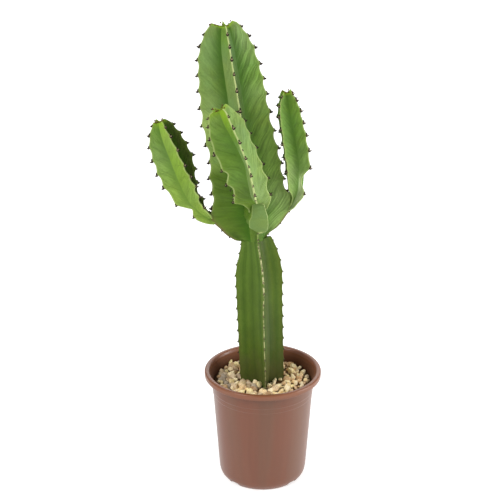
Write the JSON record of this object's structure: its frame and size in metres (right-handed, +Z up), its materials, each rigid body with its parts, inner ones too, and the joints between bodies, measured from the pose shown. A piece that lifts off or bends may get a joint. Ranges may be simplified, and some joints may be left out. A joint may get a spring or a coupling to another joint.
{
  "type": "potted candelabra succulent",
  "caption": "Upright four-ribbed stem succulent with a waisted trunk, a taller toothed stem and curved side arms, in a tapered nursery pot with a gravel top dressing.",
  "frame": {"origin": "centre of the pot's flat underside, on the surface the pot stands on", "axes": "+Z up along the stems, -Y is the front with the front arm, +X is the viewer's right"},
  "size_m": [0.2469, 0.2035, 0.6947],
  "materials": {
    "pot_plastic": "satin",
    "potting_soil": "matte",
    "gravel": "matte",
    "trunk_skin": "matte",
    "stem_skin": "satin"
  },
  "bodies": {
    "root": {"pot": "pot_plastic", "soil": "potting_soil", "gravel": "gravel", "trunk": "trunk_skin", "upper_stem": "stem_skin", "arm_left": "stem_skin", "arm_front": "stem_skin", "arm_right": "stem_skin"}
  },
  "joints": []
}
